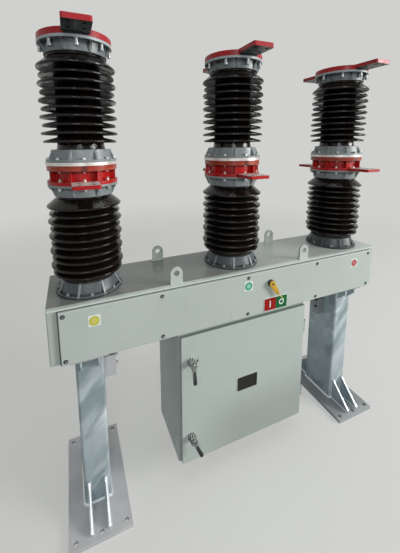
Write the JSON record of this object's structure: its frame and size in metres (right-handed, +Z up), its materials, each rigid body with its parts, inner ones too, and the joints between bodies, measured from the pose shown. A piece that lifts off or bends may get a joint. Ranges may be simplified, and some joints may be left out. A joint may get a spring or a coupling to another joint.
{
  "type": "outdoor vacuum circuit breaker",
  "caption": "Outdoor high-voltage circuit breaker: porcelain columns with terminal pads on a beam housing, carried by two galvanised posts, with a drive cabinet below.",
  "frame": {"origin": "on the floor, midway between the posts and on the line through the poles", "axes": "+X along the beam to the right seen from the front, +Y from the front to the rear, +Z up"},
  "size_m": [1.734, 0.488, 2.004],
  "materials": {
    "post_steel": "hot-dip galvanised",
    "box_paint": "light grey-green satin",
    "flange_paint": "mid grey cast alloy",
    "red_paint": "red enamel on castings",
    "glaze": "dark brown glaze",
    "bare_aluminium": "machined",
    "window_glass": "dark tinted",
    "plated_steel": "plated",
    "black_grip": "matt",
    "pointer_yellow": "yellow",
    "plate_red": "two-field plate"
  },
  "bodies": {
    "breaker": {"beam_box": "box_paint", "front_cover": "box_paint", "lifting_lugs": "box_paint", "cabinet_shell": "box_paint", "fixed_hinges": "box_paint", "indicator_boss": "plated_steel", "indicator_plate": "plate_red", "left_base_flange": "flange_paint", "left_lower_insulator": "glaze", "left_lower_top_flange": "flange_paint", "left_middle_housing": "red_paint", "left_upper_foot_flange": "flange_paint", "left_upper_insulator": "glaze", "left_upper_top_flange": "flange_paint", "left_top_cap": "red_paint", "middle_base_flange": "flange_paint", "middle_lower_insulator": "glaze", "middle_lower_top_flange": "flange_paint", "middle_middle_housing": "red_paint", "middle_upper_foot_flange": "flange_paint", "middle_upper_insulator": "glaze", "middle_upper_top_flange": "flange_paint", "middle_top_cap": "red_paint", "right_base_flange": "flange_paint", "right_lower_insulator": "glaze", "right_lower_top_flange": "flange_paint", "right_middle_housing": "red_paint", "right_upper_foot_flange": "flange_paint", "right_upper_insulator": "glaze", "right_upper_top_flange": "flange_paint", "right_top_cap": "red_paint", "seal_rings": "bare_aluminium", "posts": "post_steel", "foot_plates": "post_steel", "gussets": "post_steel", "head_plates": "post_steel", "head_gussets": "post_steel", "side_brackets": "post_steel"},
    "door": {"cabinet_door": "box_paint", "door_window": "window_glass", "door_hinges": "box_paint", "handle_barrels": "plated_steel"},
    "upper_handle": {"upper_handle": "black_grip"},
    "lower_handle": {"lower_handle": "black_grip"},
    "pointer": {"pointer": "pointer_yellow"}
  },
  "joints": [
    {"name": "door_hinge", "type": "hinge", "parent": "breaker", "child": "door", "pos_m": [0.356, -0.172, 0.4455], "axis": [0, 0, 1], "range_deg": [0, 110]},
    {"name": "upper_handle_turn", "type": "hinge", "parent": "door", "child": "upper_handle", "pos_m": [-0.303, -0.211, 0.6405], "axis": [0, -1, 0], "range_deg": [0, 90]},
    {"name": "lower_handle_turn", "type": "hinge", "parent": "door", "child": "lower_handle", "pos_m": [-0.303, -0.211, 0.2525], "axis": [0, -1, 0], "range_deg": [-25, 65]},
    {"name": "pointer_turn", "type": "hinge", "parent": "breaker", "child": "pointer", "pos_m": [0.127, -0.185, 0.927], "axis": [0, 1, 0], "range_deg": [0, 32]}
  ]
}
